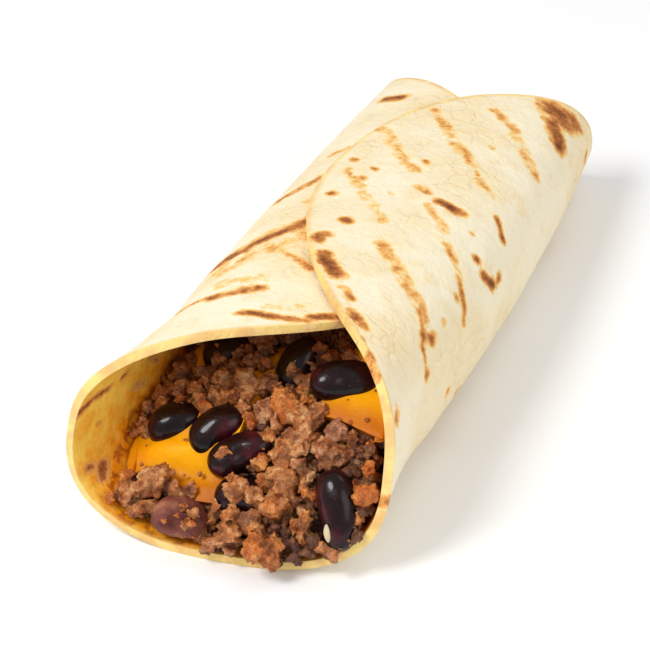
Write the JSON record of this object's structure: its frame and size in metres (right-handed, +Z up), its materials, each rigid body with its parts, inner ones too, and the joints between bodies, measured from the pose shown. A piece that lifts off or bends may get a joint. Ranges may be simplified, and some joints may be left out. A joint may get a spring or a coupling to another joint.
{
  "type": "burrito",
  "caption": "Flour tortilla rolled round seasoned ground meat, beans and cheese slices, open at both ends with the filling showing.",
  "frame": {"origin": "centre of the bounding box's underside, on the table", "axes": "+Y along the roll from the wide open mouth to the narrow back end, +Z up through the seam flap, +X to the right of a viewer who looks into the mouth"},
  "size_m": [0.0741, 0.1854, 0.0475],
  "materials": {
    "toasted_flour": "matte",
    "browned_meat": "moist",
    "melted_cheese": "satin",
    "bean_skin": "glossy"
  },
  "bodies": {
    "root": {"tortilla": "toasted_flour", "ground_meat": "browned_meat", "cheese_left": "melted_cheese", "cheese_right": "melted_cheese", "bean_1": "bean_skin", "bean_2": "bean_skin", "bean_3": "bean_skin", "bean_4": "bean_skin", "bean_5": "bean_skin", "bean_6": "bean_skin", "bean_7": "bean_skin", "bean_8": "bean_skin", "bean_9": "bean_skin", "bean_10": "bean_skin", "bean_11": "bean_skin", "bean_12": "bean_skin", "bean_13": "bean_skin", "bean_14": "bean_skin", "bean_15": "bean_skin", "meat_lump_1": "browned_meat", "meat_lump_2": "browned_meat", "meat_lump_3": "browned_meat", "meat_lump_4": "browned_meat"}
  },
  "joints": []
}
